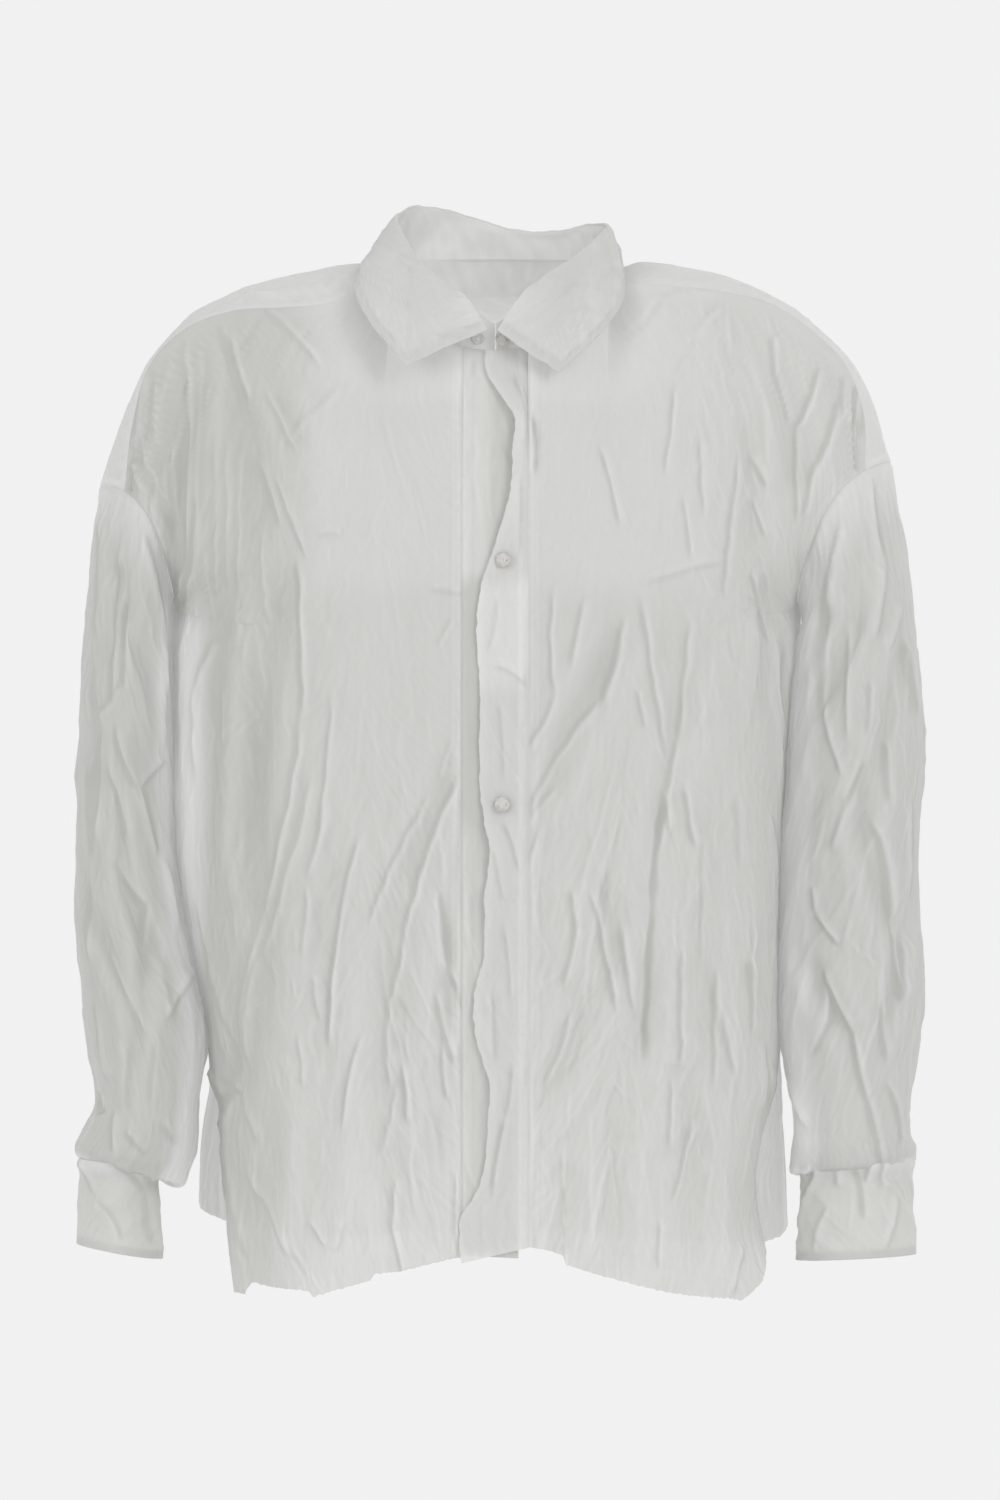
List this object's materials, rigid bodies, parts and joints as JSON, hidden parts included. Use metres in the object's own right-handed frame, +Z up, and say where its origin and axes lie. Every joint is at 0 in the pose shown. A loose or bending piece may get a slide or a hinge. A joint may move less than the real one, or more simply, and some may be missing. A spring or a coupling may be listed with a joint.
{
  "type": "button-front shirt, worn form with no wearer",
  "caption": "Loose crinkled voile shirt with a turned-down collar, dropped shoulders, long cuffed sleeves, a wavy button band and side slits, filled out as if worn.",
  "frame": {"origin": "in the neck opening, level with the tops of the shoulders, where the wearer carries the shirt", "axes": "+X to the wearer's left, -Y out of the front, +Z up"},
  "size_m": [0.56, 0.2497, 0.7231],
  "materials": {
    "voile": "thin crinkled cotton voile",
    "doubled_voile": "the same voile, doubled and stitched",
    "button_knot": "small wound knots of cloth"
  },
  "bodies": {
    "root": {"front_right": "voile", "front_left": "voile", "placket_over": "doubled_voile", "placket_under": "doubled_voile", "back": "voile", "yoke": "voile", "collar_stand": "doubled_voile", "collar_leaf": "doubled_voile", "sleeve_right": "voile", "sleeve_left": "voile", "cuff_right": "doubled_voile", "cuff_left": "doubled_voile", "button_1": "button_knot", "button_2": "button_knot", "button_3": "button_knot", "button_4": "button_knot"}
  },
  "joints": []
}
